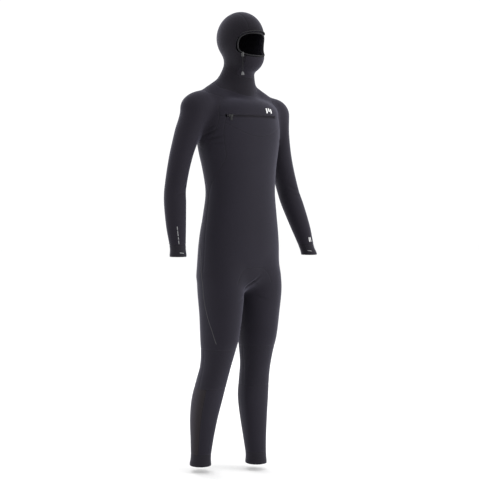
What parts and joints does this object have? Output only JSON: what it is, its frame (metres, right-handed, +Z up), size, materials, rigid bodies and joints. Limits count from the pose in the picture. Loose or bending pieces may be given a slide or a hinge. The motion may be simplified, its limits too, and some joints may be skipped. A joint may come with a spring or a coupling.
{
  "type": "hooded full wetsuit",
  "caption": "Hooded full-length neoprene wetsuit held up in a walking pose, with panelled body and limbs, chest zip, face opening, cord lock, and wrist and ankle seals.",
  "frame": {"origin": "middle of the neck base, level with the shoulders that carry the suit", "axes": "+Z up, the figure faces -Y, and its right side is -X"},
  "size_m": [0.701, 0.2841, 1.7437],
  "materials": {
    "body_jersey": "knitted nylon on foam, matt with a faint sheen",
    "chest_jersey": "knitted nylon on foam, matt",
    "gusset_jersey": "stretch knit, matt",
    "sleeve_jersey": "knitted nylon on foam, matt",
    "leg_jersey": "knitted nylon on foam, matt",
    "knee_fabric": "hard-wearing stretch weave with printed dots, matt",
    "calf_fabric": "textured stretch knit, matt",
    "seal_rubber": "smooth-faced neoprene foam, satin",
    "piping_print": "printed reflective line, satin",
    "neck_jersey": "knitted nylon on foam, matt",
    "hood_jersey": "knitted nylon on foam, matt",
    "binding_tape": "glued elastic binding, satin",
    "lock_plastic": "moulded acetal, gloss",
    "cord_braid": "braided elastic cord, matt",
    "tab_plastic": "moulded grip tab, satin",
    "zip_cloth": "coated woven tape, matt",
    "zip_teeth_plastic": "moulded acetal, satin",
    "zip_slider_plastic": "moulded acetal, gloss",
    "pull_rubber": "moulded rubber, satin",
    "flap_jersey": "thin jersey-lined foam, matt"
  },
  "bodies": {
    "torso": {"front_yoke": "body_jersey", "back_yoke": "body_jersey", "chest_panel": "chest_jersey", "front_body_panel": "body_jersey", "crotch_gusset": "gusset_jersey", "right_side_panel": "body_jersey", "left_side_panel": "body_jersey", "back_panel": "body_jersey", "seat_panel": "body_jersey", "right_shoulder_panel": "sleeve_jersey", "left_shoulder_panel": "sleeve_jersey", "right_hip_panel": "body_jersey", "left_hip_panel": "body_jersey", "neck_collar": "neck_jersey", "inner_neck_seal": "neck_jersey", "zip_upper_tape": "zip_cloth", "zip_upper_teeth": "zip_teeth_plastic", "zip_lower_tape": "zip_cloth", "zip_lower_teeth": "zip_teeth_plastic", "zip_end_box": "zip_teeth_plastic", "zip_top_stop": "zip_teeth_plastic", "zip_storm_flap": "flap_jersey"},
    "hood": {"hood_crown_panel": "hood_jersey", "hood_chin_panel": "hood_jersey", "hood_right_panel": "hood_jersey", "hood_left_panel": "hood_jersey", "face_binding": "binding_tape", "hood_peak": "binding_tape", "cord_lock_barrel": "lock_plastic", "hood_cord_tail": "cord_braid", "cord_end_tab": "tab_plastic"},
    "right_upper_arm": {"right_elbow_panel": "sleeve_jersey", "right_upper_sleeve": "sleeve_jersey"},
    "right_forearm": {"right_wrist_seal": "seal_rubber", "right_forearm_sleeve": "sleeve_jersey"},
    "left_upper_arm": {"left_elbow_panel": "sleeve_jersey", "left_upper_sleeve": "sleeve_jersey"},
    "left_forearm": {"left_wrist_seal": "seal_rubber", "left_forearm_sleeve": "sleeve_jersey"},
    "right_thigh": {"right_thigh_panel": "leg_jersey", "right_knee_pad": "knee_fabric", "right_knee_back_panel": "leg_jersey", "right_side_piping": "piping_print"},
    "right_shank": {"right_shin_panel": "leg_jersey", "right_calf_panel": "calf_fabric", "right_ankle_seal": "seal_rubber"},
    "left_thigh": {"left_thigh_panel": "leg_jersey", "left_knee_pad": "knee_fabric", "left_knee_back_panel": "leg_jersey", "left_side_piping": "piping_print"},
    "left_shank": {"left_shin_panel": "leg_jersey", "left_calf_panel": "calf_fabric", "left_ankle_seal": "seal_rubber"},
    "zip_slider_body": {"zip_slider": "zip_slider_plastic"},
    "zip_pull": {"zip_pull_tab": "pull_rubber"},
    "cord_lock_press": {"cord_lock_button": "lock_plastic"}
  },
  "joints": [
    {"name": "neck_nod", "type": "hinge", "parent": "torso", "child": "hood", "pos_m": [0, 0.01, 0.06], "axis": [1, 0, 0], "range_deg": [-15, 28], "stiffness_Nm_per_rad": 3, "deforming": ["neck_collar", "inner_neck_seal"]},
    {"name": "right_shoulder", "type": "hinge", "parent": "torso", "child": "right_upper_arm", "pos_m": [-0.24, 0.029, -0.216], "axis": [0, 1, 0], "range_deg": [0, 45], "stiffness_Nm_per_rad": 4, "deforming": ["right_shoulder_panel"]},
    {"name": "right_elbow", "type": "hinge", "parent": "right_upper_arm", "child": "right_forearm", "pos_m": [-0.273, 0.033, -0.371], "axis": [-0.9806, 0, 0.1961], "range_deg": [-10, 80], "stiffness_Nm_per_rad": 2, "deforming": ["right_elbow_panel"]},
    {"name": "right_hip", "type": "hinge", "parent": "torso", "child": "right_thigh", "pos_m": [-0.09, -0.005, -0.8095], "axis": [-1, 0, 0], "range_deg": [-20, 60], "stiffness_Nm_per_rad": 6, "deforming": ["right_hip_panel", "right_side_piping"]},
    {"name": "right_knee", "type": "hinge", "parent": "right_thigh", "child": "right_shank", "pos_m": [-0.095, 0.026, -1.058], "axis": [1, 0, 0], "range_deg": [0, 90], "stiffness_Nm_per_rad": 4, "deforming": ["right_knee_pad", "right_knee_back_panel"]},
    {"name": "left_shoulder", "type": "hinge", "parent": "torso", "child": "left_upper_arm", "pos_m": [0.227, 0.032, -0.229], "axis": [0, -1, 0], "range_deg": [0, 45], "stiffness_Nm_per_rad": 4, "deforming": ["left_shoulder_panel"]},
    {"name": "left_elbow", "type": "hinge", "parent": "left_upper_arm", "child": "left_forearm", "pos_m": [0.2795, 0.041, -0.371], "axis": [-0.9806, 0, -0.1961], "range_deg": [-10, 80], "stiffness_Nm_per_rad": 2, "deforming": ["left_elbow_panel"]},
    {"name": "left_hip", "type": "hinge", "parent": "torso", "child": "left_thigh", "pos_m": [0.09, -0.005, -0.8095], "axis": [-1, 0, 0], "range_deg": [-20, 60], "stiffness_Nm_per_rad": 6, "deforming": ["left_hip_panel", "left_side_piping"]},
    {"name": "left_knee", "type": "hinge", "parent": "left_thigh", "child": "left_shank", "pos_m": [0.091, 0.01, -1.058], "axis": [1, 0, 0], "range_deg": [0, 90], "stiffness_Nm_per_rad": 4, "deforming": ["left_knee_pad", "left_knee_back_panel"]},
    {"name": "zip_run", "type": "hinge", "parent": "torso", "child": "zip_slider_body", "pos_m": [0.00228, 0.18144, -0.101], "axis": [0, 0, 1], "range_deg": [0, 39.1]},
    {"name": "zip_pull_lift", "type": "hinge", "parent": "zip_slider_body", "child": "zip_pull", "pos_m": [-0.10578, -0.09046, -0.099], "axis": [-0.9293, 0.3693, 0], "range_deg": [0, 115]},
    {"name": "cord_lock_push", "type": "slide", "parent": "hood", "child": "cord_lock_press", "axis": [0, 0, -1], "range_m": [0, 0.0025], "stiffness_N_per_m": 300}
  ]
}
